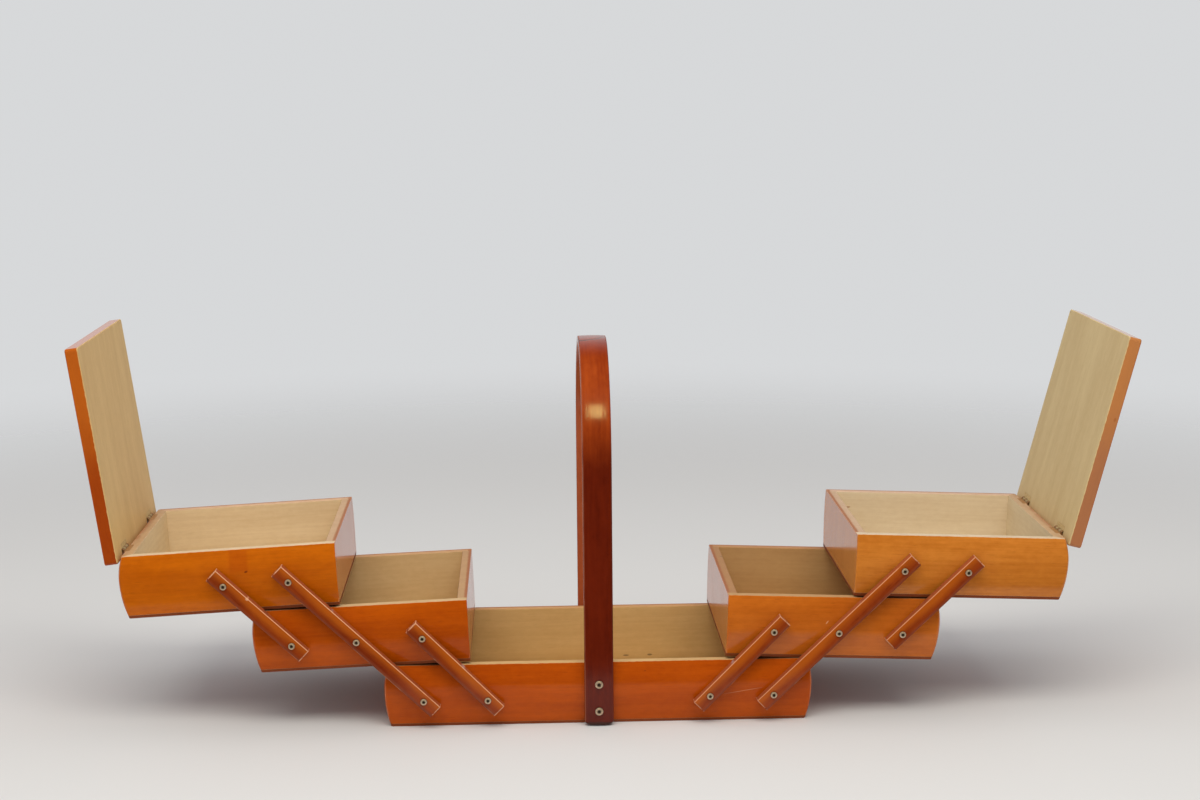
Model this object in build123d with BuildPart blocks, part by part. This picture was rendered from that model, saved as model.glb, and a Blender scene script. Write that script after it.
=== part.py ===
"""Two-lid wooden sewing carrier with cantilever trays.

A base box carries a bent-wood hoop handle. On each side of the handle a middle
tray and a top tray swing outward on flat wooden arms, and each top tray has a
flat lid hinged at its outer end. The carrier is drawn fully open, lids back.

Millimetres. X runs along the carrier, Y from front to back, Z up. The origin is
the centre of the base's underside. A place in a box is given as `along`, from
its inner end outward, and `up`, from its underside.
"""
from build123d import *
import os
from math import asin, atan2, cos, degrees, hypot, radians, sin, tan

# Base box and trays
BASE_LENGTH = 400.0        # across the fullest part of the moulded ends
BASE_DEPTH = 209.0         # across the fullest part of the front and back
BOX_HEIGHT = 59.0          # base and every tray, underside to rim
RIM = 9.2                  # width of the bare rim, and thickness of a flat end
FLOOR = 3.0                # bottom panel, under the walls
SWELL_UP = 36.0            # height of the fullest part of the moulding
RIM_INSET = 3.7            # how far the moulding falls back at the rim
FOOT_INSET = 5.2           # how far it falls back at the underside
CORNER_ROUND = 3.0         # moulded corners, in plan
BUTT_ROUND = 1.0           # corners at a tray's flat inner end, in plan
EDGE_ROUND = 0.8           # rims
MIDDLE_GAP = 0.5           # between left and right trays when closed
STACK_GAP = 0.3            # under a tray that is closed onto the box below
TRAY_DEPTH_EASE = 0.8      # a tray is this much shallower than the base

# Arms and their pivots
PIVOT_UP = 28.0            # pivots above each underside
PIVOT_FROM_END = 37.0      # base's outer pivot from the base's end
PIVOT_PITCH = 59.5         # between neighbouring pivots
INNER_PIVOT_SHIFT = 1.1    # middle tray's inner pivot, towards the inner end
OPEN_REST_GAP = 0.17       # open middle tray over the base's outer rim
ARM_WIDTH = 13.2
ARM_THICKNESS = 9.0
ARM_OVERHANG = 15.0        # arm past its last pivot
ARM_ROUND = 0.8            # edges of an arm's outer face
ARM_CORNER_ROUND = 0.6     # corners of an arm's square ends
ARM_CLEARANCE = 0.4        # arms from the fullest part of the base
OPEN_PIVOT_PLAY = 0.65     # radial, where a short arm only follows its tray
MID_SAG = {"left": 2.2, "right": 2.2}      # open trays tilt down outward, degrees
TOP_SAG = {"left": 2.9, "right": 2.3}

# Lids
LID_THICKNESS = 12.0
LID_ROUND = 1.0
LID_CORNER_ROUND = 3.0
LID_GAP = 0.3              # between rim and closed lid
LID_SIDE_EASE = 0.2        # lid's long edges inside the tray's front and back
LID_MEETING_GAP = 2.5      # closed lid's free edge from the tray's inner end
LID_PAST_AXIS = 6.2        # lid past its hinge line
LID_OPEN = {"left": 94.7, "right": 102.3}  # from closed, degrees

# Lid hinges
HINGE_SPREAD = 65.0        # each hinge from the middle of the depth
HINGE_LENGTH = 25.0
HINGE_AXIS_OUT = 3.0       # hinge line outside the rim's edge
KNUCKLES = 5
KNUCKLE_RADIUS = 1.9
KNUCKLE_GAP = 0.15
KNUCKLE_CLEARANCE = 0.3    # round a knuckle, in the lid and in the other leaf
PIN_RADIUS = 0.8
PIN_CLEARANCE = 0.05
LEAF_THICKNESS = 0.9
LEAF_REACH = 6.6           # leaf from the hinge line
LEAF_EASE = 0.1            # round a leaf in its pocket
LEAF_SCREW_OUT = 4.9       # leaf screws from the hinge line
LEAF_SCREW_SPREAD = 7.5    # leaf screws from the middle of a hinge
LEAF_SCREW_RADIUS = 0.8
LEAF_SCREW_HEAD = 1.3
LEAF_SCREW_LENGTH = 7.0

# Handle
HANDLE_WIDTH = 27.0
HANDLE_THICKNESS = 6.5
HANDLE_TOP = 352.0
HANDLE_BEND = 107.0        # outer radius of the two bends
HANDLE_FOOT = 1.5          # lower ends above the underside
HANDLE_FOOT_ROUND = 4.0
HANDLE_EDGE_ROUND = 1.4
HANDLE_SCREWS_UP = (14.6, 40.5)

# Screws
PIVOT_SCREW_RADIUS = 1.75
PIVOT_HEAD_RADIUS = 3.4
PIVOT_HEAD_HEIGHT = 2.0
PIVOT_SCREW_BITE = 8.0     # thread in the wall
HANDLE_SCREW_RADIUS = 2.0
HANDLE_HEAD_RADIUS = 4.1
HANDLE_HEAD_HEIGHT = 2.4
HANDLE_SCREW_BITE = 8.5
HEAD_ROUND = 1.2
HEAD_GAP = 0.1             # under a screw's head
RUN_CLEARANCE = 0.08       # arm on its pivot screw, radial
THREAD_CLEARANCE = 0.02    # screw in a fixed hole, radial
TIP_CLEARANCE = 0.3        # past a screw's tip
DRIVE_WIDTH = 0.8          # cross recess
DRIVE_DEPTH = 1.1
DRIVE_REACH = 0.55         # of the head's radius

# Worked out from the sizes above
TRAY_DEPTH = BASE_DEPTH - TRAY_DEPTH_EASE
TRAY_LENGTH = (BASE_LENGTH - MIDDLE_GAP) / 2
MOULDING = RIM + RIM_INSET
BASE_OUTER_PIVOT = BASE_LENGTH / 2 - PIVOT_FROM_END
BASE_INNER_PIVOT = BASE_OUTER_PIVOT - PIVOT_PITCH
TRAY_PIVOT = BASE_INNER_PIVOT - MIDDLE_GAP / 2    # closed, above the base's inner pivot
TRAY_INNER_PIVOT = TRAY_PIVOT - PIVOT_PITCH
TRAY_OUTER_PIVOT = TRAY_PIVOT + PIVOT_PITCH
ARM_REACH = hypot(PIVOT_PITCH, BOX_HEIGHT + STACK_GAP)
ARM_OUT = BASE_DEPTH / 2 + ARM_CLEARANCE          # back of the arms
ARM_FACE = ARM_OUT + ARM_THICKNESS
HANDLE_FACE = BASE_DEPTH / 2 + HANDLE_THICKNESS
LID_HALF_DEPTH = TRAY_DEPTH / 2 - LID_SIDE_EASE
HINGE_ALONG = TRAY_LENGTH - RIM_INSET + HINGE_AXIS_OUT
HINGE_UP = BOX_HEIGHT + LID_GAP / 2
KNUCKLE_PITCH = HINGE_LENGTH / KNUCKLES
FACES = {"front": -1, "back": 1}
SIDES = {"left": -1, "right": 1}


class Case:
    """Where a box stands when open: the foot of its inner end, and its tilt."""

    def __init__(self, side, foot, sag):
        self.side = side
        self.foot = foot
        self.sag = radians(sag)

    def step(self, along, up):
        """Step (x, z) for a step in the case."""
        x = self.side * (along * cos(self.sag) + up * sin(self.sag))
        return x, -along * sin(self.sag) + up * cos(self.sag)

    def at(self, along, up):
        """Place (x, z) of a point of the case."""
        x, z = self.step(along, up)
        return self.foot[0] + x, self.foot[1] + z

    def plane(self, along, up, x_step, z_dir):
        """Plane at a point on the box's middle, with sketch x along x_step."""
        x, z = self.at(along, up)
        across = self.step(*x_step)
        return Plane((x, 0, z), x_dir=(across[0], 0, across[1]), z_dir=z_dir)

    def length_plane(self):
        """Upright, down the middle: sketch x is along, sketch y is up."""
        return self.plane(0, 0, (1, 0), (0, -self.side, 0))

    def cross_plane(self):
        """Upright, across the inner end: sketch x is depth, sketch y is up."""
        out = self.step(1, 0)
        return Plane((self.foot[0], 0, self.foot[1]), x_dir=(0, self.side, 0), z_dir=(out[0], 0, out[1]))

    def level_plane(self, up=0.0):
        """Level with the floor: sketch x is along, sketch y is depth."""
        normal = self.step(0, 1)
        return self.plane(0, up, (1, 0), (normal[0], 0, normal[1]))

    def hinge_plane(self, angle=0.0):
        """On the hinge line: sketch x is down the lid, z is through it, at an opening angle."""
        turn = radians(angle)
        normal = self.step(sin(turn), cos(turn))
        return self.plane(HINGE_ALONG, HINGE_UP, (-cos(turn), sin(turn)), (normal[0], 0, normal[1]))


def tray_on(side, pivot, pivot_along, sag):
    """Tray hung with its pivot_along point on a pivot (x, z)."""
    x, z = Case(side, (0, 0), sag).at(pivot_along, PIVOT_UP)
    return Case(side, (pivot[0] - x, pivot[1] - z), sag)


def face_plane(face, out):
    """Plane parallel to the front or back, facing out, at a distance from the middle."""
    return Plane((0, face * out, 0), x_dir=(-face, 0, 0), z_dir=(0, face, 0))


def face_spots(face, points):
    """Sketch places, on a face plane, of points (x, z)."""
    return [(-face * x, z) for x, z in points]


def save(builder, name):
    """Label one finished piece and write it."""
    builder.part.label = name
    export_step(builder.part, f"parts/{name}.step")


def swelled_edge(edge, turn):
    """Moulded outline of one side, in two arcs that meet upright at its fullest."""
    TangentArc((edge, SWELL_UP), (edge - turn * FOOT_INSET, 0), tangent=(0, -1))
    TangentArc((edge, SWELL_UP), (edge - turn * RIM_INSET, BOX_HEIGHT), tangent=(0, 1))


def upright_edges(form, level, low, high):
    """Edges of a form that stand up, between two places along the case."""
    upright = form.edges().filter_by(lambda edge: abs((edge % 0.5).dot(level.z_dir)) > 0.5)
    return upright.filter_by(lambda edge: low < level.to_local_coords(edge @ 0.5).X < high)


def moulded_form(case, near, far, depth, near_moulded):
    """Outside form of a box, rounded at its corners and hollowed above its floor."""
    level = case.level_plane()
    near_foot, near_rim, near_wall = (0, 0, RIM)
    if near_moulded:
        near_foot, near_rim, near_wall = (FOOT_INSET, RIM_INSET, MOULDING)
    with BuildPart() as form:
        with BuildSketch(case.length_plane()):
            with BuildLine():
                swelled_edge(far, 1)
                if near_moulded:
                    swelled_edge(near, -1)
                else:
                    Line((near, 0), (near, BOX_HEIGHT))
                Line((near + near_foot, 0), (far - FOOT_INSET, 0))
                Line((near + near_rim, BOX_HEIGHT), (far - RIM_INSET, BOX_HEIGHT))
            make_face()
        extrude(amount=depth / 2, both=True)
        with BuildSketch(case.cross_plane()):
            with BuildLine():
                swelled_edge(depth / 2, 1)
                swelled_edge(-depth / 2, -1)
                Line((-depth / 2 + FOOT_INSET, 0), (depth / 2 - FOOT_INSET, 0))
                Line((-depth / 2 + RIM_INSET, BOX_HEIGHT), (depth / 2 - RIM_INSET, BOX_HEIGHT))
            make_face()
        extrude(amount=far, both=True, mode=Mode.INTERSECT)
        middle = (near + far) / 2
        fillet(upright_edges(form, level, middle, far), CORNER_ROUND)
        near_round = CORNER_ROUND if near_moulded else BUTT_ROUND
        fillet(upright_edges(form, level, near - 1, middle), near_round)
        with BuildSketch(case.level_plane(FLOOR)):
            with Locations(((near + near_wall + far - MOULDING) / 2, 0)):
                Rectangle(far - MOULDING - near - near_wall, depth - 2 * MOULDING)
        extrude(amount=BOX_HEIGHT, mode=Mode.SUBTRACT)
        rim = form.faces().sort_by(Axis(level.origin, level.z_dir))[-1]
        fillet(rim.edges(), EDGE_ROUND)
    return form


def board(form, case, low, high, footprint):
    """One board of a box: the part of its form above a footprint (along, depth)."""
    with BuildPart() as piece:
        add(form)
        with BuildSketch(case.level_plane(low)):
            Polygon(*footprint, align=None)
        extrude(amount=high - low, mode=Mode.INTERSECT)
    return piece


def wall_footprint(case, face, near, far, depth, near_moulded):
    """Front or back wall from above, mitred where the next wall is moulded."""
    outer = case.side * face * depth / 2
    inner = case.side * face * (depth / 2 - MOULDING)
    near_inner = near + MOULDING if near_moulded else near
    return [(near, outer), (far, outer), (far - MOULDING, inner), (near_inner, inner)]


def end_footprint(end, turn, depth):
    """Moulded end from above, mitred both ways."""
    inner = end - turn * MOULDING
    half = depth / 2
    return [(end, -half), (end, half), (inner, half - MOULDING), (inner, MOULDING - half)]


def block_footprint(near, far, half):
    """Plain rectangle from above."""
    return [(near, -half), (far, -half), (far, half), (near, half)]


def drill(face, spots, surface, bite, radius):
    """Blind pilot holes in the open part, through points (x, z) of the front or back."""
    depth = bite + TIP_CLEARANCE
    with BuildSketch(face_plane(face, surface - depth)) as holes:
        with Locations(*face_spots(face, spots)):
            Circle(radius + THREAD_CLEARANCE)
    extrude(holes.sketch, amount=depth + ARM_CLEARANCE, mode=Mode.SUBTRACT)


def make_screws(spots, tip, seat, shank_radius, head_radius, head_height):
    """Round-head screws through points (x, z) of the front and the back, with cross recesses."""
    top = seat + head_height
    with BuildPart() as group:
        for face in FACES.values():
            with BuildSketch(face_plane(face, seat)):
                with Locations(*face_spots(face, spots)):
                    Circle(head_radius)
            extrude(amount=head_height)
            rims = group.edges().filter_by_position(Axis.Y, face * top - 0.01, face * top + 0.01)
            fillet(rims, HEAD_ROUND)
            with BuildSketch(face_plane(face, tip)):
                with Locations(*face_spots(face, spots)):
                    Circle(shank_radius)
            extrude(amount=seat - tip)
            with BuildSketch(face_plane(face, top - DRIVE_DEPTH)):
                with Locations(*face_spots(face, spots)):
                    Rectangle(2 * DRIVE_REACH * head_radius, DRIVE_WIDTH, rotation=45)
                    Rectangle(2 * DRIVE_REACH * head_radius, DRIVE_WIDTH, rotation=135)
            extrude(amount=DRIVE_DEPTH, mode=Mode.SUBTRACT)
    return group


def make_pivot_screws(spots, depth):
    """Screws that hold the arms to a box of some depth."""
    tip = depth / 2 - PIVOT_SCREW_BITE
    seat = ARM_FACE + HEAD_GAP
    return make_screws(spots, tip, seat, PIVOT_SCREW_RADIUS, PIVOT_HEAD_RADIUS, PIVOT_HEAD_HEIGHT)


def make_arm(face, start, end, holes):
    """Flat arm along points (x, z) start to end, bored at holes ((x, z), radius)."""
    (x0, z0), (x1, z1) = face_spots(face, [start, end])
    length = hypot(x1 - x0, z1 - z0) + 2 * ARM_OVERHANG
    with BuildPart() as arm:
        with BuildSketch(face_plane(face, ARM_OUT)):
            with Locations(((x0 + x1) / 2, (z0 + z1) / 2)):
                RectangleRounded(length, ARM_WIDTH, ARM_CORNER_ROUND, rotation=degrees(atan2(z1 - z0, x1 - x0)))
        extrude(amount=ARM_THICKNESS)
        outer = arm.faces().sort_by(Axis((0, 0, 0), (0, face, 0)))[-1]
        fillet(outer.edges(), ARM_ROUND)
        for spot, radius in holes:
            with BuildSketch(face_plane(face, ARM_OUT)):
                with Locations(*face_spots(face, [spot])):
                    Circle(radius)
            extrude(amount=ARM_THICKNESS, mode=Mode.SUBTRACT)
    return arm


def make_handle():
    """Bent hoop from the front of the base, over the top, to the back."""
    with BuildPart() as handle:
        with BuildSketch(Plane.YZ):
            with BuildLine():
                outer = FilletPolyline(
                    (-HANDLE_FACE, HANDLE_FOOT), (-HANDLE_FACE, HANDLE_TOP),
                    (HANDLE_FACE, HANDLE_TOP), (HANDLE_FACE, HANDLE_FOOT), radius=HANDLE_BEND)
                offset(outer, amount=-HANDLE_THICKNESS, side=Side.RIGHT, closed=True)
            make_face()
        extrude(amount=HANDLE_WIDTH / 2, both=True)
        feet = handle.faces().sort_by(Axis.Z)[:2]
        toes = [foot.edges().filter_by(Axis.X).sort_by(lambda edge: abs(edge.center().Y))[-1] for foot in feet]
        fillet(toes, HANDLE_FOOT_ROUND)
        sides = handle.faces().filter_by(Axis.X)
        fillet(sides.edges(), HANDLE_EDGE_ROUND)
        for face in FACES.values():
            with BuildSketch(face_plane(face, HANDLE_FACE - HANDLE_THICKNESS)):
                with Locations(*[(0, up) for up in HANDLE_SCREWS_UP]):
                    Circle(HANDLE_SCREW_RADIUS + THREAD_CLEARANCE)
            extrude(amount=HANDLE_THICKNESS, mode=Mode.SUBTRACT)
    return handle


def leaf_screw_spots(flip):
    """Leaf screws on the hinge plane, pointing into the lid (flip 1) or the tray (flip -1)."""
    turn = (180, 0, 0) if flip > 0 else (0, 0, 0)
    spots = []
    for middle in (-HINGE_SPREAD, HINGE_SPREAD):
        for spread in (-LEAF_SCREW_SPREAD, LEAF_SCREW_SPREAD):
            spots.append(Location((LEAF_SCREW_OUT, middle + spread, flip * LID_GAP / 2), turn))
    return spots


def leaf_pockets(flip):
    """Pockets and pilot holes for the hinge leaves, in the open part on a hinge plane."""
    width = HINGE_LENGTH + 2 * LEAF_EASE
    sunk = LID_GAP / 2 + LEAF_THICKNESS
    with Locations(*[(0, middle, flip * sunk / 2) for middle in (-HINGE_SPREAD, HINGE_SPREAD)]):
        Box(LEAF_REACH + LEAF_EASE, width, sunk, align=(Align.MIN, Align.CENTER, Align.CENTER), mode=Mode.SUBTRACT)
    depth = LEAF_SCREW_LENGTH + TIP_CLEARANCE
    with Locations(*leaf_screw_spots(flip)):
        Cylinder(LEAF_SCREW_RADIUS + THREAD_CLEARANCE, depth,
                 align=(Align.CENTER, Align.CENTER, Align.MAX), mode=Mode.SUBTRACT)


def make_lid(plane):
    """Flat lid on its hinge plane, notched for the knuckles."""
    reach = HINGE_ALONG - LID_MEETING_GAP
    notch = KNUCKLE_RADIUS + KNUCKLE_CLEARANCE
    with BuildPart(plane) as lid:
        with BuildSketch(plane.offset(LID_GAP / 2)):
            with Locations(((reach - LID_PAST_AXIS) / 2, 0)):
                RectangleRounded(reach + LID_PAST_AXIS, 2 * LID_HALF_DEPTH, LID_CORNER_ROUND)
        extrude(amount=LID_THICKNESS)
        flat_faces = lid.faces().sort_by(Axis(plane.origin, plane.z_dir))
        fillet(flat_faces[0].edges() + flat_faces[-1].edges(), LID_ROUND)
        with Locations(*[(notch, middle, 0) for middle in (-HINGE_SPREAD, HINGE_SPREAD)]):
            Box(notch + LID_PAST_AXIS, HINGE_LENGTH + 2 * LEAF_EASE, notch,
                align=(Align.MAX, Align.CENTER, Align.MIN), mode=Mode.SUBTRACT)
        leaf_pockets(1)
    return lid


def make_leaves(plane, flip, own):
    """Both hinges' leaves on one hinge plane, with their own knuckles (steps from the middle one)."""
    inner = KNUCKLE_RADIUS + KNUCKLE_CLEARANCE
    level = flip * (LID_GAP + LEAF_THICKNESS) / 2
    knuckle = KNUCKLE_PITCH - KNUCKLE_GAP
    with BuildPart(plane) as leaves:
        for middle in (-HINGE_SPREAD, HINGE_SPREAD):
            places = [middle + step * KNUCKLE_PITCH for step in own]
            with Locations((inner, middle, level)):
                Box(LEAF_REACH - inner, HINGE_LENGTH, LEAF_THICKNESS, align=(Align.MIN, Align.CENTER, Align.CENTER))
            with Locations(*[(0, place, level) for place in places]):
                Box(inner, knuckle, LEAF_THICKNESS, align=(Align.MIN, Align.CENTER, Align.CENTER))
            with Locations(*[(0, place, 0) for place in places]):
                Cylinder(KNUCKLE_RADIUS, knuckle, rotation=(90, 0, 0))
            with Locations((0, middle, 0)):
                Cylinder(PIN_RADIUS + PIN_CLEARANCE, 2 * HINGE_LENGTH, rotation=(90, 0, 0), mode=Mode.SUBTRACT)
        with Locations(*leaf_screw_spots(flip)):
            CounterSinkHole(LEAF_SCREW_RADIUS + THREAD_CLEARANCE, LEAF_SCREW_HEAD + THREAD_CLEARANCE,
                            depth=LEAF_THICKNESS, counter_sink_angle=90)
    return leaves


def make_pins(plane):
    """Both hinge pins."""
    with BuildPart(plane) as pins:
        with Locations((0, -HINGE_SPREAD, 0), (0, HINGE_SPREAD, 0)):
            Cylinder(PIN_RADIUS, HINGE_LENGTH, rotation=(90, 0, 0))
    return pins


def make_leaf_screws(plane, flip):
    """Countersunk screws of one side of both hinges."""
    sink = LEAF_SCREW_HEAD - LEAF_SCREW_RADIUS
    top = (Align.CENTER, Align.CENTER, Align.MAX)
    with BuildPart(plane) as group:
        with Locations(*leaf_screw_spots(flip)):
            Cone(LEAF_SCREW_RADIUS, LEAF_SCREW_HEAD, sink, align=top)
            Cylinder(LEAF_SCREW_RADIUS, LEAF_SCREW_LENGTH, align=top)
    return group


def make_wall(form, case, face, extent, depth, near_moulded, pivots, handle_screws=()):
    """Front or back wall, drilled for its screws."""
    footprint = wall_footprint(case, face, *extent, depth, near_moulded)
    with BuildPart() as wall:
        add(board(form, case, FLOOR, BOX_HEIGHT, footprint))
        drill(face, pivots, depth / 2, PIVOT_SCREW_BITE, PIVOT_SCREW_RADIUS)
        if handle_screws:
            drill(face, handle_screws, depth / 2, HANDLE_SCREW_BITE, HANDLE_SCREW_RADIUS)
    return wall


def make_outer_end(form, case, hinged):
    """Moulded outer end of a tray, pocketed for the hinges on a top tray."""
    with BuildPart() as end:
        add(board(form, case, FLOOR, BOX_HEIGHT, end_footprint(TRAY_LENGTH, 1, TRAY_DEPTH)))
        if hinged:
            with Locations(case.hinge_plane().location):
                leaf_pockets(-1)
    return end


def build_base(pivots):
    """Base box, its handle and its screws."""
    case = Case(1, (0, 0), 0)
    half = BASE_LENGTH / 2
    handle_screws = [(0, up) for up in HANDLE_SCREWS_UP]
    form = moulded_form(case, -half, half, BASE_DEPTH, True)
    for name, face in FACES.items():
        wall = make_wall(form, case, face, (-half, half), BASE_DEPTH, True, pivots, handle_screws)
        save(wall, f"base_{name}_wall")
    for name, turn in SIDES.items():
        save(board(form, case, FLOOR, BOX_HEIGHT, end_footprint(turn * half, turn, BASE_DEPTH)), f"base_{name}_end")
    save(board(form, case, 0, FLOOR, block_footprint(-half, half, half)), "base_floor")
    save(make_pivot_screws(pivots, BASE_DEPTH), "base_pivot_screws")
    save(make_handle(), "carry_handle")
    screws = make_screws(handle_screws, BASE_DEPTH / 2 - HANDLE_SCREW_BITE, HANDLE_FACE,
                         HANDLE_SCREW_RADIUS, HANDLE_HEAD_RADIUS, HANDLE_HEAD_HEIGHT)
    save(screws, "handle_screws")


def build_tray(name, case, pivots, hinged):
    """One tray and the screws in it."""
    form = moulded_form(case, 0, TRAY_LENGTH, TRAY_DEPTH, False)
    for face_name, face in FACES.items():
        wall = make_wall(form, case, face, (0, TRAY_LENGTH), TRAY_DEPTH, False, pivots)
        save(wall, f"{name}_{face_name}_wall")
    inner = block_footprint(0, RIM, TRAY_DEPTH / 2 - MOULDING)
    save(board(form, case, FLOOR, BOX_HEIGHT, inner), f"{name}_inner_end")
    save(make_outer_end(form, case, hinged), f"{name}_outer_end")
    whole = block_footprint(0, TRAY_LENGTH, TRAY_DEPTH)
    save(board(form, case, 0, FLOOR, whole), f"{name}_floor")
    save(make_pivot_screws(pivots, TRAY_DEPTH), f"{name}_pivot_screws")


def build_lid(side_name, case):
    """One lid, stood open, and its two hinges."""
    closed = case.hinge_plane()
    opened = case.hinge_plane(LID_OPEN[side_name])
    save(make_lid(opened), f"{side_name}_lid")
    save(make_leaves(closed, -1, (-2, 0, 2)), f"{side_name}_tray_hinge_leaves")
    save(make_leaves(opened, 1, (-1, 1)), f"{side_name}_lid_hinge_leaves")
    save(make_pins(opened), f"{side_name}_hinge_pins")
    save(make_leaf_screws(closed, -1), f"{side_name}_tray_leaf_screws")
    save(make_leaf_screws(opened, 1), f"{side_name}_lid_leaf_screws")


def open_angle(sag):
    """Arms' angle above the horizontal, in radians, where a middle tray rests open on the base's rim."""
    tilt = radians(sag)
    rim_out = BASE_LENGTH / 2 - RIM_INSET - BASE_OUTER_PIVOT
    rise = BOX_HEIGHT + OPEN_REST_GAP + PIVOT_UP * (1 / cos(tilt) - 1) + rim_out * tan(tilt)
    return asin(rise * cos(tilt) / ARM_REACH) - tilt


def follower_end(start, open_end, closed_end):
    """Free pivot of a short arm whose reach is the mean of its open and closed reaches."""
    open_reach = hypot(open_end[0] - start[0], open_end[1] - start[1])
    closed_reach = hypot(*closed_end)
    share = (open_reach + closed_reach) / 2 / open_reach
    return (start[0] + (open_end[0] - start[0]) * share, start[1] + (open_end[1] - start[1]) * share)


def build_side(side_name, side):
    """Two trays, their arms and the lid of one side."""
    turn = open_angle(MID_SAG[side_name])
    reach = (side * ARM_REACH * cos(turn), ARM_REACH * sin(turn))
    outer_pivot = (side * BASE_OUTER_PIVOT, PIVOT_UP)
    inner_pivot = (side * BASE_INNER_PIVOT, PIVOT_UP)
    mid_pivot = (outer_pivot[0] + reach[0], outer_pivot[1] + reach[1])
    top_pivot = (mid_pivot[0] + reach[0], mid_pivot[1] + reach[1])
    mid = tray_on(side, mid_pivot, TRAY_PIVOT, MID_SAG[side_name])
    top = tray_on(side, top_pivot, TRAY_INNER_PIVOT, TOP_SAG[side_name])
    mid_follower = mid.at(TRAY_INNER_PIVOT - INNER_PIVOT_SHIFT, PIVOT_UP)
    mid_outer = mid.at(TRAY_OUTER_PIVOT, PIVOT_UP)
    top_follower = top.at(TRAY_PIVOT, PIVOT_UP)
    build_tray(f"{side_name}_mid", mid, [mid_follower, mid_pivot, mid_outer], False)
    build_tray(f"{side_name}_top", top, [top_pivot, top_follower], True)
    build_lid(side_name, top)
    run = PIVOT_SCREW_RADIUS + RUN_CLEARANCE
    loose = PIVOT_SCREW_RADIUS + OPEN_PIVOT_PLAY
    tier = BOX_HEIGHT + STACK_GAP
    inner_end = follower_end(inner_pivot, mid_follower, (PIVOT_PITCH + INNER_PIVOT_SHIFT, tier))
    outer_end = follower_end(mid_outer, top_follower, (PIVOT_PITCH, tier))
    for face_name, face in FACES.items():
        long_holes = [(outer_pivot, run), (mid_pivot, run), (top_pivot, run)]
        save(make_arm(face, outer_pivot, top_pivot, long_holes), f"{side_name}_{face_name}_long_arm")
        inner_holes = [(inner_pivot, run), (inner_end, loose)]
        save(make_arm(face, inner_pivot, inner_end, inner_holes), f"{side_name}_{face_name}_inner_arm")
        outer_holes = [(mid_outer, run), (outer_end, loose)]
        save(make_arm(face, mid_outer, outer_end, outer_holes), f"{side_name}_{face_name}_outer_arm")


os.makedirs("parts", exist_ok=True)
base_pivots = [(turn * out, PIVOT_UP) for turn in SIDES.values() for out in (BASE_INNER_PIVOT, BASE_OUTER_PIVOT)]
build_base(base_pivots)
for side_name, side in SIDES.items():
    build_side(side_name, side)
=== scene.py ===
from math import cos, pi, radians, sin
from random import Random

import bmesh
import bpy
import numpy as np
from mathutils import Matrix, Vector


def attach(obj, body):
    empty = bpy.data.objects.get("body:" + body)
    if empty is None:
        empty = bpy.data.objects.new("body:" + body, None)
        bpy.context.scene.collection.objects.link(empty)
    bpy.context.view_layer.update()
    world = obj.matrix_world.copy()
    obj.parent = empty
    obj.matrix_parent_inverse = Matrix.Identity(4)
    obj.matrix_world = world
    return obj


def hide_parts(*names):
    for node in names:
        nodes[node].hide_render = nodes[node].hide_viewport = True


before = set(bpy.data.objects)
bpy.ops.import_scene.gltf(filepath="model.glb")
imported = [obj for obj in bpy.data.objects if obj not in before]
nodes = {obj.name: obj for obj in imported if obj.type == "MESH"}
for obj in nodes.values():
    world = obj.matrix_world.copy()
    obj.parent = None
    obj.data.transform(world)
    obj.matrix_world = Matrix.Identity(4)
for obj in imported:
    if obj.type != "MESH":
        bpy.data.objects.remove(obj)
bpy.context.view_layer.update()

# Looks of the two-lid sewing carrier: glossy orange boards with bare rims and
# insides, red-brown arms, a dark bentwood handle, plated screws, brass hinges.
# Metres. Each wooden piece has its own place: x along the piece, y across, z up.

scene = bpy.context.scene

SIDES = {"left": -1, "right": 1}
FACES = {"front": -1, "back": 1}
DEPTH = Vector((0, 1, 0))
IN_PROFILE = (1, 0, 1)        # leaves out the depth
LONG_AXIS, DEPTH_AXIS, UP_AXIS = range(3)
SQUARE_ON = 0.999             # cosine of a face that looks straight along an axis

# Camera
FOCAL_PIXELS = 2060.7
IMAGE_WIDTH = 1200
SENSOR = 36.0
CAMERA_AT = (-0.06528, -1.95704, 0.62124)
CAMERA_YAW = 2.1245
CAMERA_PITCH = 9.5939
CAMERA_ROLL = -0.499

# Woods, linear: dark, light, fleck
ORANGE = ((0.40, 0.066, 0.0010), (0.62, 0.130, 0.0040), (0.22, 0.027, 0.0010))
BARE = ((0.50, 0.310, 0.140), (0.70, 0.500, 0.275), (0.33, 0.180, 0.070))
PLY = ((0.20, 0.045, 0.012), (0.32, 0.0765, 0.0204), (0.020, 0.014, 0.009))
ARM = ((0.17, 0.018, 0.0022), (0.33, 0.050, 0.0048), (0.08, 0.009, 0.0020))
LEGS = ((0.085, 0.0055, 0.0004), (0.160, 0.0130, 0.0010), (0.085, 0.0055, 0.0004))
BEND = ((0.230, 0.0240, 0.0020), (0.400, 0.0620, 0.0055), (0.160, 0.0130, 0.0010))
# the hoop's inner face, painted lighter where the front light falls on it
HANDLE_INNER_LIT = ((0.34, 0.070, 0.022), (0.50, 0.120, 0.042), (0.160, 0.0130, 0.0010))
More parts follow.
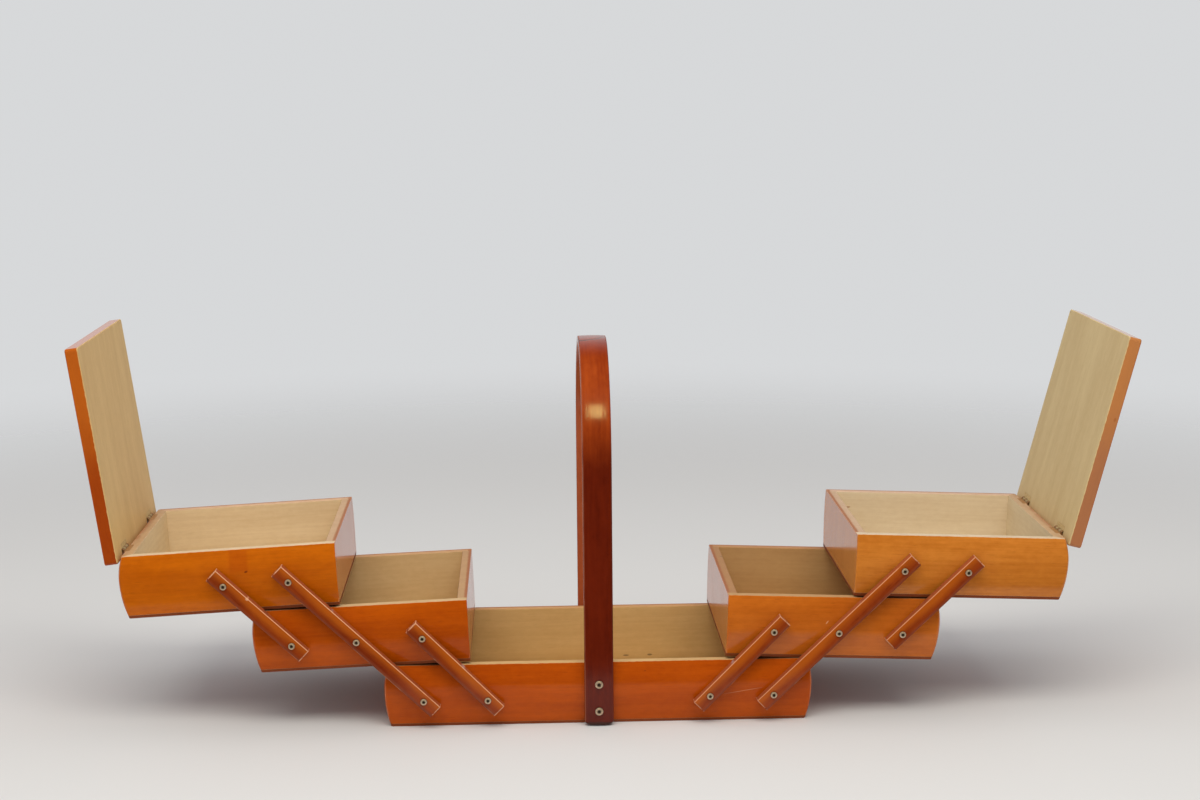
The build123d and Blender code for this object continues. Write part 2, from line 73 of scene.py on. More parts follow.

# Wear and dirt, and painted light and shade, linear
STAIN = (0.36, 0.105, 0.026)          # varnish that ran over bare wood
HINGE_STAIN = (0.216, 0.0525, 0.0104)
WORN = (0.78, 0.43, 0.25)             # pale wood where the varnish is rubbed off
GRIME = (0.020, 0.014, 0.009)
NICK = (0.80, 0.50, 0.25)
# painted shade of a rim under the tray above
SHADED_RIM = (0.15, 0.052, 0.022)
# painted light on the arms' upper part
ARM_LIT_TOP = (0.46, 0.095, 0.0050)
# painted light on the arms' sides
ARM_SIDE_LIT = (0.36, 0.090, 0.038)
# painted shade along the arms' lower edge
ARM_LOW_SHADE = (0.20, 0.052, 0.024)
HANDLE_WORN = (0.42, 0.13, 0.055)
SCREW_DIRT = (0.060, 0.034, 0.016)

# Tones that multiply the woods above: the varnish and the bare wood of each box. They are partly the woods'
# own differences and partly painted light: they carry how unevenly the light falls on the boxes.
VARNISH_TONE = {
    "base": (0.90, 0.73, 0.5), "left_mid": (0.88, 0.73, 0.3), "left_top": (1.03, 1.14, 0.6),
    "right_mid": (1.02, 1.24, 3.0), "right_top": (1.14, 1.86, 8.0),
}
BARE_TONE = {
    "base": (1.10, 1.06, 0.85), "left_mid": (1.07, 1.10, 1.06), "left_top": (1.20, 1.37, 1.66),
    "right_mid": (0.90, 0.79, 0.62), "right_top": (1.19, 1.43, 1.90),
}
OUTER_END_TONE = (0.96, 0.97, 0.94)
CALM_TONE = (0.8, 0.75, 0.6)
CROWN_TONE = (0.80, 0.66, 0.9)

# Bare rim of each kind of board, before its box's tone, and how it varies
RIM_COLOUR = {
    "front_wall": (0.560, 0.365, 0.190), "back_wall": (0.541, 0.300, 0.155),
    "inner_end": (0.470, 0.260, 0.122), "outer_end": (0.460, 0.250, 0.105),
    "left_end": (0.482, 0.272, 0.125), "right_end": (0.482, 0.272, 0.125),
}
RIM_TONES = ((0.86, 0.82, 0.78), (1.14, 1.18, 1.22))

# Lids: bare wood, and the varnish of the edges at the free end and by the hinges
LID_TONE = {"left": (1.10, 1.06, 0.79), "right": (1.03, 1.13, 1.05)}
LID_EDGE = {
    "left": ((0.51, 0.117, 0.011), (0.30, 0.036, 0.004)),
    "right": ((0.527, 0.233, 0.079), (0.407, 0.189, 0.090)),
}

# Metals, linear, and the tones they tarnish to
PLATING = (0.70, 0.54, 0.38)
PLATING_TARNISH = (0.62, 0.60, 0.52)
BRASS = {"tray": (0.46, 0.24, 0.095), "lid": (0.68, 0.50, 0.24), "hinge": (0.50, 0.33, 0.15)}
BRASS_TARNISH = (0.80, 0.76, 0.70)

# Stage, linear
FLOOR_COLOUR = (0.72, 0.712, 0.705)
BACKDROP = (0.68, 0.69, 0.70)
ROOM = (0.035, 0.030, 0.027)
ROOM_LIGHT = (0.52, 0.52, 0.53)
BACKDROP_FROM = (0.45, 0.93)  # how far back varnish has to look to see the backdrop
FLOOR_SEEN_TO = -0.27         # varnish reflects the floor up to here, and the dark room past it
FLOOR_SEEN_BLUR = 0.01
FLOOR_HALF = 3.0
FLOOR_ROUGHNESS = 0.8
FLOOR_FADE = (0.9, 2.2)

# Below, a pair is where a mask starts and where it is full. A share is how much of its paint a full
# mask lays on. WANDER, WAVER and RAGGED are how far a noise moves a mask's edge.

# Noises: scales along x, y and z, detail, roughness
RAGGED = ((260, 260, 260), 3.0)
LID_RAGGED = ((250, 250, 250), 2.0)
RIM_PATCHES = ((90, 90, 90), 3.0, 0.6)
BLUSH_CLOUDS = ((60, 25, 60), 3.0)
DIRT_CLOUDS = ((50, 50, 50), 3.0)
CORNER_PATCHES = ((90, 90, 60), 3.0)
SMEARS = ((35, 35, 35), 3.0)
LID_CLOUDS = ((30, 30, 30), 2.0)
ARM_PATCHES = ((45, 260, 260), 3.0, 0.6)
ARM_CLOUDS = ((14, 60, 60), 3.0)
HANDLE_CLOUDS = ((20, 60, 60), 2.0)
HANDLE_PATCHES = ((30, 200, 200), 3.0, 0.6)
HANDLE_WAVES = ((24, 260, 260), 2.0)
CRACK_WANDER = ((80, 80, 80), 3.0)
SCREW_TARNISH = ((700, 700, 700), 3.0)
HINGE_TARNISH = ((500, 500, 500), 3.0)

# Boards
RIM = 0.0092                # width of a box's rim
RIM_TOP = (0.0006, 0.0002)  # below the rim, where it turns from varnished to bare
RIM_BLUR = 0.0005
HOLLOW_WALL = (0.0004, 0.0001)
RAGGED_BY = 0.0010
LAP_RAGGED = 1.6            # times that, where varnish ran over the rim
LAPS = {                    # varnish that ran over a rim, out from its inner edge, and its share
    "inner_end": (RIM - 0.0038, RIM - 0.0018, 0.85),
    "back_wall": (RIM - 0.0045, RIM - 0.0025, 0.75),
}
# painted shade on the rim under the tray above
COVERED = {                 # rim under the tray above: middle and half length clear of it, along the box
    "base": (0.200, 0.132), "left_mid": (0.0, 0.119), "right_mid": (0.0, 0.119),
}
COVERED_BLUR = 0.003
COVERED_SHARE = 0.85
BLUSH_BAND = (RIM * 0.25, RIM)      # cloudier stain on the outer ends' and the base ends' rims
BLUSH_PATCHED = (0.40, 0.62)
BLUSH_SHARE = 0.6
BARE_EVENED = 0.5           # how far bare wood is evened out to its middle colour
VARNISH_EVENED = 0.25
CALM_EVENED = 0.55
FLECK_SHARE = {"varnish": 0.40, "board": 0.28, "calm": 0.1, "bare": 0.25, "lid": 0.12, "handle": 0.15}
HOLLOW_CORNER = (0.014, 0.002)      # dirt low down in a hollow
DIRT_SHARE = 0.45
# pale line of wear and painted highlight along a box's moulded corners
WORN_AND_GLINT_CORNER = (0.0010, 0.0003)      # moulded corners of a box
WORN_AND_GLINT_CORNER_SHARE = 0.40
CORNER_PATCHED = (0.38, 0.60)
FLOOR_TOP = (0.00010, 0.00004)      # below a floor's upper face
PLY_LAYER = 0.001
PLY_SEAM = (-0.4, 0.4)

# Surfaces: roughness of the varnish, what bare or worn wood adds to it, relief and specular level
SMEAR_ROUGHNESS = 0.10
VARNISH_ROUGHNESS = {"board": 0.09, "lid": 0.10, "arm": 0.16, "handle": 0.17}
BARE_ROUGHNESS = {"board": 0.5, "lid": 0.45, "arm": 0.25, "handle": 0.3}
PLY_ROUGHNESS = 0.5
PLATING_ROUGHNESS = (0.25, 0.32)    # what tarnish adds, and clean metal's
BRASS_ROUGHNESS = (0.2, 0.5)
DIRT_ROUGHNESS = 0.3
RELIEF = {"board": 0.08, "calm": 0.03, "floor": 0.15, "lid": 0.10, "arm": 0.10, "handle": 0.16, "metal": 0.1}
SPECULAR = {"base": 0.2, "left": 0.2, "right": 0.4, "tray_end": 0.5, "floor": 0.12, "lid": 0.36,
            "arm": 0.22, "handle": 0.3, "brass": 0.12}
BUMP_DISTANCE = 0.0002
PLATING_METALLIC = 0.55
BRASS_METALLIC = 0.2

# Seeds of the grain, first of each kind
END_SEED, FLOOR_SEED, LID_SEED, ARM_SEED, HANDLE_SEED = 40, 60, 70, 80, 5

# Lids
LID_RAGGED_BY = 0.0012
LID_RING = 0.010
LID_RING_SHARE = 0.01
LID_BARE_DEPTH = 0.0004
LID_OUTER_FACE = (0.0003, 0.0010)
LID_AGED = (0.175, 0.095)   # from the hinge, where the edges' varnish turns from one colour to the other
LID_AGED_WANDER = 0.05
LID_AGED_SHARE = 0.75
LID_LAP = (0.0026, 0.0014)  # varnish that ran round the hinged edge
LID_LAP_SHARE = 0.8

# Arms: how far in from the edges each wear, and each painted light and shade, goes
ARM_RING = 0.004
ARM_LIT_TOP_BAND = (0.004, -0.006)
ARM_LIT_TOP_WANDER = -0.012
ARM_LIT_TOP_SHARE = 0.9
ARM_LOW_SHADE_BAND = (0.0052, 0.0030)
ARM_LOW_SHADE_WANDER = 0.003
ARM_LOW_SHADE_SHARE = 0.6
ARM_SIDE_LIT_BAND = (0.0006, 0.0012)
ARM_SIDE_LIT_SHARE = 0.85
ARM_EDGE = (0.0008, 0.0004)
ARM_END_EDGE = (0.0012, 0.0004)
ARM_END_CORNER = (0.0010, 0.0004)
ARM_BUTT = (0.0004, 0.0001)
ARM_LOW_EDGE_SHARE = 0.5
ARM_BUTT_SHARE = 0.5
ARM_WORN_SHARE = {"left": 0.85, "right": 0.60}
ARM_PATCHED = {             # patches of the wear on each edge
    "top": (0.24, 0.42), "low": (0.5, 0.7), "end": (0.34, 0.56), "butt": (0.38, 0.66),
}

# Handle
SHARP_ANGLE = radians(40)   # of own meshes' edges
HANDLE_WIDTH = 0.027
HANDLE_THICKNESS = 0.0065
HANDLE_BEND = 0.107         # outer radius of the two bends
HANDLE_FOOT_ROUND = 0.0045
HANDLE_FOOT_STEPS = 6
HANDLE_EDGE_ROUND = 0.0014
HANDLE_EDGE_STEPS = 5
HANDLE_BEND_STEPS = 40
HANDLE_LEG_STEP = 0.006
HANDLE_LEG_END = 0.004      # the steps stop this far below the bend
HANDLE_FACE_STEPS = 10
HANDLE_CROWN = 0.0003       # outer face falls back by this towards its edges
HANDLE_RING = 0.005
HANDLE_RING_SHARE = 0.03
LEGS_FROM = (0.129, 0.196)  # from the crown, where the bend's colour turns into the legs'
CROWN_TO = (0.085, 0.030)   # from the crown, where its darker tone fades
HANDLE_CLOUD_REACH = 0.03
HANDLE_INNER_FACE = (0.0016, 0.0006)
HANDLE_WORN_EDGE = (0.0014, 0.0005)
HANDLE_DULL_EDGE = (0.0014, 0.0008)
HANDLE_PATCHED = (0.30, 0.52)
HANDLE_WORN_LEFT = (0.016, -0.002)      # the left edge is worn more
HANDLE_WORN_SHARE = 0.6
CRACK_ALONG = -0.0185       # crack in the crown, along the hoop from its middle
CRACK_LEFT = 0.010          # it bows back on both sides of a line this far left of the middle
CRACK_BOW = 36.0
CRACK_WAVER = 0.006
CRACK_DEPTH = 2.0           # against the grain's relief
WAVE_HEIGHT = 1.5
CRACK_WIDTH = (0.0028, 0.0006)
CRACK_SHARE = 0.7
FOOT_DARK = (0.0058, 0.0042)   # darker at the feet, up from the floor
FOOT_DARK_WANDER = 0.002
FOOT_DARK_SHARE = 0.75
GRAIN_PLACE = "grain_place"

# Screws and hinges. A head's recess is in shares of its radius and height
SCREW_APART = 0.012         # vertices nearer than this belong to one screw
SCREW_SIZE = {              # radius and height of the head, radius of the shank
    "handle": (0.0038, 0.0024, 0.0020), "pivot": (0.0031, 0.0020, 0.00175),
}
SHANK_END = ((1.0, 0.0022), (0.55, 0.0008), (0.1, 0.0))    # share of its radius, length before the tip
HEAD_STEPS = 64
HEAD_SIDE = 0.45            # height of the head's rim
HEAD_FULLNESS = 2.4
HEAD_CORNER = 0.985
RECESS_REACH = 0.44
HEAD_RINGS = np.concatenate((np.linspace(0.04, RECESS_REACH, 16), np.linspace(RECESS_REACH + 0.05, 0.9, 6),
                             (0.94, 0.97, 0.99, 1.0)))
RECESS_HALF_WIDTH = 0.12
RECESS_WALL = 0.10
RECESS_END = 2.2            # slope of the recess's ends
RECESS_DEPTH = 0.55
DIRT = "dirt"
DIRT_AT_EDGE = 0.75
DIRT_AT_SIDE = 0.8
DIRT_IN_MIDDLE = 0.46
DIRT_MIDDLE = (0.60, 0.12)  # how far from the middle it goes, and over what it fades
DIRTY_FROM = (0.25, 0.75)
DIRT_RAGGED = 0.3
SCREW_TARNISHED = (0.35, 0.75)
BRASS_TARNISHED = (0.35, 0.7)
OIL_REACH = (0.0032, 0.0020)        # round a hinge's pins
OIL_WANDER = 0.0016
OIL_SHARE = 0.75

# Where a mark starts and is full, in half sizes
SQUARE_MARK = (1.1, 0.75)
ROUND_MARK = (1.0, 0.45)

# Small marks: colour, share, middle (world, at rest), half sizes in the piece's place, turn, square
MARKS = {
    "left_top_front_wall": [
        ((0.40, 0.045, 0.0010), 0.36, (-0.3306, -0.103, 0.1626), (0.0090, 0.02, 0.0108), (0, 0, 0), True),
        ((0.13, 0.018, 0.0030), 0.80, (-0.3237, -0.103, 0.1525), (0.0022, 0.02, 0.0013), (0, 20, 0), False),
    ],
    "base_back_wall": [
        (GRIME, 0.55, (0.0352, 0.0916, 0.0075), (0.0040, 0.02, 0.0012), (0, 0, 0), False),
        (GRIME, 0.60, (0.0597, 0.0916, 0.0078), (0.0034, 0.02, 0.0013), (0, 0, 0), False),
    ],
    "right_top_back_wall": [
        (STAIN, 0.60, (0.2635, 0.0912, 0.1600), (0.0030, 0.02, 0.0014), (0, -10, 0), False),
    ],
    "right_mid_front_wall": [
        (NICK, 0.60, (0.2139, -0.103, 0.0941), (0.0026, 0.02, 0.0007), (0, -55, 0), False),
    ],
    "right_mid_inner_end": [
        (GRIME, 0.60, (0.1303, 0.0490, 0.1205), (0.0065, 0.0007, 0.01), (0, 0, -40), False),
    ],
    "base_front_wall": [
        (NICK, 0.35, (0.1357, -0.104, 0.0297), (0.0240, 0.02, 0.00035), (0, -8.9, 0), False),
        (NICK, 0.30, (0.1513, -0.104, 0.0229), (0.0060, 0.02, 0.0004), (0, -4, 0), False),
        (GRIME, 0.50, (0.0434, -0.103, 0.0504), (0.0009, 0.02, 0.0006), (0, 0, 0), False),
    ],
    "right_lid": [
        (STAIN, 0.60, (0.4790, -0.104, 0.2819), (0.0026, 0.01, 0.0016), (0, 0, 0), False),
    ],
    "left_front_outer_arm": [
        (WORN, 0.80, (-0.3225, -0.112, 0.1290), (0.0020, 0.01, 0.0016), (0, 0, 0), False),
    ],
    "left_front_long_arm": [
        ((0.52, 0.12, 0.010), 0.45, (-0.2790, -0.113, 0.1560), (0.0090, 0.01, 0.0030), (0, 0, 0), False),
    ],
}


# Where each piece is

def corners(node):
    """Vertices of a CAD node, as an array."""
    mesh = nodes[node].data
    points = np.empty(3 * len(mesh.vertices))
    mesh.vertices.foreach_get("co", points)
    return points.reshape(-1, 3)


def widest_normal(node):
    """Normal of the largest face of a CAD node."""
    return max(nodes[node].data.polygons, key=lambda face: face.area).normal.copy()


def place_of(along, up, points):
    """Matrix of a piece's own place, from its two axes and its lowest corner along them."""
    across = up.cross(along)
    origin = along * (points @ along).min() + up * (points @ up).min()
    place = Matrix((along, across, up)).transposed().to_4x4()
    place.translation = origin
    return place


def box_place(name, side):
    """Place of the base or of a tray: x from its inner end outward, z up from its underside."""
    up = widest_normal(f"{name}_floor")
    up *= 1 if up.z > 0 else -1
    along = DEPTH.cross(up) * side
    return place_of(along, up, corners(f"{name}_floor"))


def lid_place(name, side):
    """Place of an open lid: x from its hinge to its free edge, z from its inner face outward."""
    out = widest_normal(name)
    out *= 1 if out.x * side > 0 else -1
    along = out.cross(DEPTH) * side
    return place_of(along, out, corners(name))


def arm_place(name):
    """Place of an arm: x along it, y in from its outer face, z up across it."""
    points = corners(name)
    flat = points[:, (0, 2)] - points[:, (0, 2)].mean(0)
    _, axes = np.linalg.eigh(flat.T @ flat)
    along = Vector((axes[0, 1], 0, axes[1, 1])).normalized()
    along *= 1 if along.x > 0 else -1
    return place_of(along, along.cross(DEPTH), points)


def span(name, place):
    """Size of a CAD node in a place."""
    points = corners(name) @ np.array(place.to_3x3())
    return Vector(points.max(0) - points.min(0))


def face_at(name, place, axis, way):
    """Where a node's widest face that looks one way along an axis of a place lies on that axis."""
    axes = place.to_3x3().transposed()
    faces = [face for face in nodes[name].data.polygons if (axes @ face.normal)[axis] * way > SQUARE_ON]
    widest = max(faces, key=lambda face: face.area)
    return (place.inverted() @ widest.center)[axis]


# Node shorthand

COLOUR_MIX_INPUTS = (0, 6, 7)     # a Mix node's sockets for colours: factor, A and B
COLOUR_MIX_OUTPUT = 2


class Shader:
    """One material and the nodes in it."""

    def __init__(self, name, world=None):
        self.owner = world or bpy.data.materials.new(name)
        self.owner.use_nodes = True
        self.tree = self.owner.node_tree
        self.tree.nodes.clear()

    def feed(self, socket, value):
        """Give a socket a link, a colour or a plain value."""
        if isinstance(value, bpy.types.NodeSocket):
            self.tree.links.new(value, socket)
        elif socket.type == "RGBA":
            socket.default_value = (*value[:3], 1.0)
        else:
            socket.default_value = value

    def add(self, kind, inputs, **settings):
        """A new node with its settings and its inputs, by name or number."""
        node = self.tree.nodes.new("ShaderNode" + kind)
        for key, value in settings.items():
            setattr(node, key, value)
        for key, value in inputs.items():
            self.feed(node.inputs[key], value)
        return node

    def math(self, operation, *values):
        return self.add("Math", dict(enumerate(values)), operation=operation).outputs[0]

    def vector(self, operation, *values):
        return self.add("VectorMath", dict(enumerate(values)), operation=operation).outputs[0]

    def times(self, mask, share):
        return self.math("MULTIPLY", mask, share)

    def linear(self, value, scale, start):
        """value times scale, plus start."""
        return self.math("MULTIPLY_ADD", value, scale, start)

    def length(self, vector):
        return self.add("VectorMath", {0: vector}, operation="LENGTH").outputs["Value"]

    def mix(self, share, low, high):
        """Colour between low and high."""
        node = self.add("Mix", dict(zip(COLOUR_MIX_INPUTS, (share, low, high))), data_type="RGBA")
        return node.outputs[COLOUR_MIX_OUTPUT]

    def over(self, colour, mask, share, paint):
        """Colour with a share of a paint laid over it where a mask is."""
        return self.mix(self.times(mask, share), colour, paint)

    def step(self, value, low, high):
        """0 at low, 1 at high, smooth between."""
        node = self.add("MapRange", {"Value": value, "From Min": low, "From Max": high},
                        interpolation_type="SMOOTHSTEP")
        return node.outputs[0]

    def noise(self, vector, scales, detail, roughness=0.5):
        scaled = self.vector("MULTIPLY", vector, scales)
        node = self.add("TexNoise", {"Vector": scaled, "Scale": 1.0, "Detail": detail,
                                     "Roughness": roughness})
        return node.outputs["Fac"]

    def split(self, vector):
        return self.add("SeparateXYZ", {"Vector": vector}).outputs[:3]

    def coordinates(self):
        """Coordinates of the piece at rest, which move with it."""
        return self.add("TexCoord", {}).outputs["Object"]

    def place(self, matrix):
        """Coordinates in a piece's own place."""
        inputs = {"Vector": self.coordinates(), "Location": matrix.translation, "Rotation": matrix.to_euler()}
        return self.add("Mapping", inputs, vector_type="TEXTURE").outputs[0]

    def turned(self, vector, order):
        """Coordinates in another order, such as "yxz", so that the grain runs another way."""
        parts = dict(zip("xyz", self.split(vector)))
        node = self.add("CombineXYZ", dict(zip("XYZ", (parts[letter] for letter in order))))
        return node.outputs[0]

    def either(self, *masks):
        """The stronger of some masks."""
        whole = masks[0]
        for mask in masks[1:]:
            whole = self.math("MAXIMUM", whole, mask)
        return whole

    def marked(self, colour, here, place, node):
        """Colour with the small marks of a CAD node laid over it."""
        back = place.inverted()
        for paint, share, middle, halves, turn, square in MARKS.get(node, ()):
            inputs = {"Vector": here, "Location": back @ Vector(middle), "Scale": halves,
                      "Rotation": [radians(angle) for angle in turn]}
            near = self.add("Mapping", inputs, vector_type="TEXTURE").outputs[0]
            if square:
                parts = [self.math("ABSOLUTE", part) for part in self.split(near)]
                mask = self.step(self.either(*parts), *SQUARE_MARK)
            else:
                mask = self.step(self.length(near), *ROUND_MARK)
            colour = self.over(colour, mask, share, paint)
        return colour

    def finish(self, colour, roughness, bump, strength, metallic=0.0, specular=0.5):
        """The material, with its surface set from a colour, a roughness and a height."""
        surface = self.add("BsdfPrincipled", {"Base Color": colour, "Roughness": roughness,
                                              "Metallic": metallic, "Specular IOR Level": specular})
        relief = self.add("Bump", {"Height": bump, "Strength": strength, "Distance": BUMP_DISTANCE})
        self.feed(surface.inputs["Normal"], relief.outputs[0])
        self.add("OutputMaterial", {"Surface": surface.outputs[0]})
        return self.owner


def toned(colour, tone):
    return tuple(part * share for part, share in zip(colour, tone))


def midway(dark, light):
    return [(low + high) / 2 for low, high in zip(dark, light)]


class Grain:
    """Wood figure, with the grain along x of a vector."""

    # noises, as in the table above, and how far each one moves the wood from dark to light
    SEED_STEP = (0.37, 0.61, 0.23)
    DRIFT = ((6, 42, 42), 3.0, 0.55)
    WANDER = ((5, 40, 40), 2.0)
    FIBRE = ((16, 520, 520), 3.0, 0.68)
    MOTTLE = ((120, 210, 210), 3.0, 0.6)
    FLECKS = ((95, 900, 900), 1.0)
    DRIFT_SHARE, FIBRE_SHARE, MOTTLE_SHARE = 0.52, 0.22, 0.24
    DARK_TO_LIGHT = (0.30, 0.72)
    FLECKS_FROM = (0.64, 0.76)
    RING_SLANT = 0.8
    RING_WANDER = 0.024

    def __init__(self, shader, vector, seed, ring=0.006, ring_share=0.035):
        self.shader = shader
        self.ring_share = ring_share
        moved = shader.vector("ADD", vector, [part * seed for part in self.SEED_STEP])
        self.drift = shader.noise(moved, *self.DRIFT)
        wander = shader.noise(moved, *self.WANDER)
        parts = shader.split(moved)
        across = shader.linear(parts[2], self.RING_SLANT, parts[1])
        bent = shader.linear(wander, self.RING_WANDER, across)
        wave = shader.math("SINE", shader.times(bent, 2 * pi / ring))
        self.rings = shader.linear(wave, 0.5, 0.5)
        self.fibre = shader.noise(moved, *self.FIBRE)
        self.mottle = shader.noise(moved, *self.MOTTLE)
        self.flecks = shader.step(shader.noise(moved, *self.FLECKS), *self.FLECKS_FROM)

    def colour(self, wood, tone=(1, 1, 1), fleck_share=FLECK_SHARE["varnish"]):
        """Colour of a wood (dark, light, fleck) in a tone."""
        shader = self.shader
        dark, light, fleck = (toned(colour, tone) for colour in wood)
        lightness = shader.times(self.drift, self.DRIFT_SHARE)
        lightness = shader.linear(self.rings, self.ring_share, lightness)
        lightness = shader.linear(self.fibre, self.FIBRE_SHARE, lightness)
        lightness = shader.linear(self.mottle, self.MOTTLE_SHARE, lightness)
        base = shader.mix(shader.step(lightness, *self.DARK_TO_LIGHT), dark, light)
        return shader.over(base, self.flecks, fleck_share, fleck)

    def evened(self, wood, tone, fleck_share, share):
        """Colour of a wood, evened out by a share to its middle colour."""
        colour = self.colour(wood, tone, fleck_share)
        return self.shader.mix(share, colour, toned(midway(*wood[:2]), tone))

    def relief(self):
        """Height of the fibres, with the flecks sunk."""
        return self.shader.math("SUBTRACT", self.fibre, self.flecks)


def varnish_coat(shader, grain, tone, calm):
    """Orange varnish of a board. A calm one shows less of the wood under it."""
    coat = grain.evened(ORANGE, tone, FLECK_SHARE["calm" if calm else "board"], VARNISH_EVENED)
    if calm:
        coat = shader.mix(CALM_EVENED, coat, toned(ORANGE[1], toned(tone, CALM_TONE)))
    return coat


def rim_painted(shader, plain, kind, box, rim, spread, here):
    """Bare wood with the stains of a kind of board's rim, and on a front rim the painted shade of the tray
    above. spread is how far a point lies past the hollow.
    """
    if kind in LAPS:
        start, end, share = LAPS[kind]
        return shader.over(plain, shader.step(spread, start, end), share, STAIN)
    if kind == "front_wall":
        if box not in COVERED:
            return plain
        # painted shade: dark where the tray above overhangs the rim
        start, reach = COVERED[box]
        along = shader.split(here)[LONG_AXIS]
        off = shader.math("ABSOLUTE", shader.math("SUBTRACT", along, start))
        under = shader.times(shader.step(off, reach, reach + COVERED_BLUR), rim)
        return shader.over(plain, under, COVERED_SHARE, SHADED_RIM)
    blush = shader.step(shader.noise(here, *BLUSH_CLOUDS), *BLUSH_PATCHED)
    blush = shader.times(blush, shader.step(spread, *BLUSH_BAND))
    return shader.over(plain, blush, BLUSH_SHARE, STAIN)


def board(node, box, place, turn, seed, hollow, specular):
    """Board that is varnished outside and bare on its rim and inside.

    turn puts the grain along the board; hollow is the box's inside: x and y limits, and rim height."""
    kind = node.removeprefix(f"{box}_")
    shader = Shader(f"{node}_wood")
    here = shader.place(place)
    along, across, up = shader.split(here)
    grain = Grain(shader, shader.turned(here, turn), seed)
    ragged = shader.linear(shader.noise(here, *RAGGED), RAGGED_BY, -RAGGED_BY / 2)
    (near, far), (low, high), rim_up = hollow
    # how far a point lies outside the hollow
    past_end = shader.either(shader.math("SUBTRACT", along, far), shader.math("SUBTRACT", near, along))
    past_side = shader.either(shader.math("SUBTRACT", across, high), shader.math("SUBTRACT", low, across))
    past = shader.either(past_end, past_side)
    top_start, top_end = RIM_TOP
    rim = shader.step(shader.math("ADD", up, ragged), rim_up - top_start, rim_up - top_end)
    rim = shader.times(rim, shader.step(shader.math("ADD", past, ragged), RIM, RIM - RIM_BLUR))
    bare = shader.either(rim, shader.step(past, *HOLLOW_WALL))
    # bare wood, in its box's tone, which partly carries painted light
    bare_tone = BARE_TONE[box]
    rim_colour = toned(RIM_COLOUR[kind], bare_tone)
    if kind == "outer_end":
        bare_tone = toned(bare_tone, OUTER_END_TONE)
    plain = grain.evened(BARE, bare_tone, FLECK_SHARE["bare"], BARE_EVENED)
    rim_wood = shader.mix(shader.noise(here, *RIM_PATCHES), *(toned(rim_colour, tone) for tone in RIM_TONES))
    plain = shader.mix(rim, plain, rim_wood)
    spread = shader.math("ADD", past, shader.times(ragged, LAP_RAGGED))
    plain = rim_painted(shader, plain, kind, box, rim, spread, here)
    # dirt in the hollow's lower corners
    dirt = shader.times(shader.step(up, *HOLLOW_CORNER), shader.noise(here, *DIRT_CLOUDS))
    plain = shader.over(plain, dirt, DIRT_SHARE, toned(BARE[2], bare_tone))
    # varnish, rubbed thin along the moulded corners, with a painted highlight along their rounded edge
    calm = kind == "inner_end"
    # the varnish in its box's tone, which partly carries painted light
    varnished = varnish_coat(shader, grain, VARNISH_TONE[box], calm)
    apart = shader.math("ABSOLUTE", shader.math("SUBTRACT", past_end, past_side))
    patches = shader.step(shader.noise(here, *CORNER_PATCHES), *CORNER_PATCHED)
    lightened = shader.times(shader.step(apart, *WORN_AND_GLINT_CORNER), patches)
    varnished = shader.over(varnished, lightened, WORN_AND_GLINT_CORNER_SHARE, WORN)
    if kind == "front_wall":
        varnished = shader.marked(varnished, here, place, node)
    else:
        plain = shader.marked(plain, here, place, node)
    smears = shader.noise(here, *SMEARS)
    gloss = shader.linear(smears, SMEAR_ROUGHNESS, VARNISH_ROUGHNESS["board"])
    roughness = shader.linear(bare, BARE_ROUGHNESS["board"], gloss)
    return shader.finish(shader.mix(bare, varnished, plain), roughness, grain.relief(),
                         RELIEF["calm" if calm else "board"], specular=specular)


def floor_board(node, box, place, seed, floor_up):
    """Plywood bottom: bare inside, stained dark on its edge and underside."""
    shader = Shader(f"{node}_wood")
    here = shader.place(place)
    up = shader.split(here)[UP_AXIS]
    grain = Grain(shader, here, seed)
    start, end = FLOOR_TOP
    inside = shader.step(up, floor_up - start, floor_up - end)
    plain = grain.colour(BARE, BARE_TONE[box], FLECK_SHARE["bare"])
    ply = shader.step(shader.math("SINE", shader.times(up, 2 * pi / PLY_LAYER)), *PLY_SEAM)
    stained = shader.mix(ply, grain.colour(PLY), PLY[0])
    return shader.finish(shader.mix(inside, stained, plain), PLY_ROUGHNESS, grain.relief(),
                         RELIEF["floor"], specular=SPECULAR["floor"])


def lid_board(node, place, seed, size):
    """Lid: pale bare wood inside, varnished outside and round its edges."""
    side_name = node.removesuffix("_lid")
    shader = Shader(f"{node}_wood")
    here = shader.place(place)
    along, _, out = shader.split(here)
    grain = Grain(shader, here, seed, LID_RING, LID_RING_SHARE)
    ragged = shader.times(shader.noise(here, *LID_RAGGED), LID_RAGGED_BY)
    bare = shader.step(out, shader.math("ADD", ragged, LID_BARE_DEPTH), ragged)
    # varnish of the edges, aged by handling
    cloud = shader.linear(shader.noise(here, *LID_CLOUDS), LID_AGED_WANDER, along)
    aged = shader.mix(shader.step(cloud, *LID_AGED), *LID_EDGE[side_name])
    start, end = LID_OUTER_FACE
    edges = shader.step(out, size.z - start, size.z - end)
    varnished = shader.over(grain.colour(ORANGE), edges, LID_AGED_SHARE, aged)
    # bare wood, with varnish that ran round the hinged edge
    plain = grain.evened(BARE, LID_TONE[side_name], FLECK_SHARE["lid"], BARE_EVENED)
    lap = shader.step(shader.math("ADD", along, ragged), *LID_LAP)
    plain = shader.over(plain, lap, LID_LAP_SHARE, HINGE_STAIN)
    colour = shader.marked(shader.mix(bare, varnished, plain), here, place, node)
    roughness = shader.linear(bare, BARE_ROUGHNESS["lid"], VARNISH_ROUGHNESS["lid"])
    return shader.finish(colour, roughness, grain.relief(), RELIEF["lid"], specular=SPECULAR["lid"])


